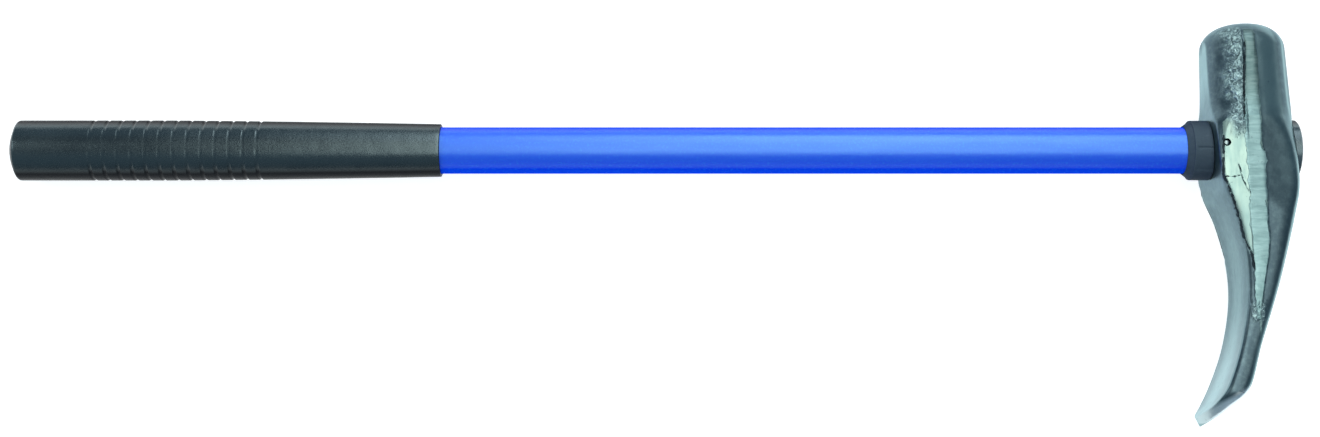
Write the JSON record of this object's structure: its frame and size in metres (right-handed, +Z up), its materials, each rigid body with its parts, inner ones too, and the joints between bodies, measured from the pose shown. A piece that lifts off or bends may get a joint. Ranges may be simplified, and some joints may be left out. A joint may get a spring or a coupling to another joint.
{
  "type": "bead breaker",
  "caption": "Tyre bead-breaking wedge hammer: forged head with a round striking poll and a curved duck-bill wedge, on a straight fibreglass handle with a ribbed rubber grip.",
  "frame": {"origin": "on the lower cheek of the head, the flat face that the tool lies on, straight below the centre of the eye", "axes": "+X along the handle from the butt to the head, +Y from the bill to the striking poll, +Z up through the thickness of the head"},
  "size_m": [0.762, 0.2379, 0.056],
  "materials": {
    "bright_steel": "bright plated forging, satin, with scale texture beside the flash line",
    "fibreglass_core": "solid glass fibre rod in resin",
    "blue_jacket": "glossy moulded jacket",
    "grip_rubber": "satin black moulded rubber",
    "collar_rubber": "matte charcoal rubber",
    "bonding_resin": "cast epoxy resin",
    "cap_plastic": "satin black",
    "pin_steel": "plain steel pin"
  },
  "bodies": {
    "root": {"wedge_head": "bright_steel", "handle_core": "fibreglass_core", "handle_jacket": "blue_jacket", "grip": "grip_rubber", "collar": "collar_rubber", "eye_resin": "bonding_resin", "eye_cap": "cap_plastic", "cross_pin": "pin_steel"}
  },
  "joints": []
}
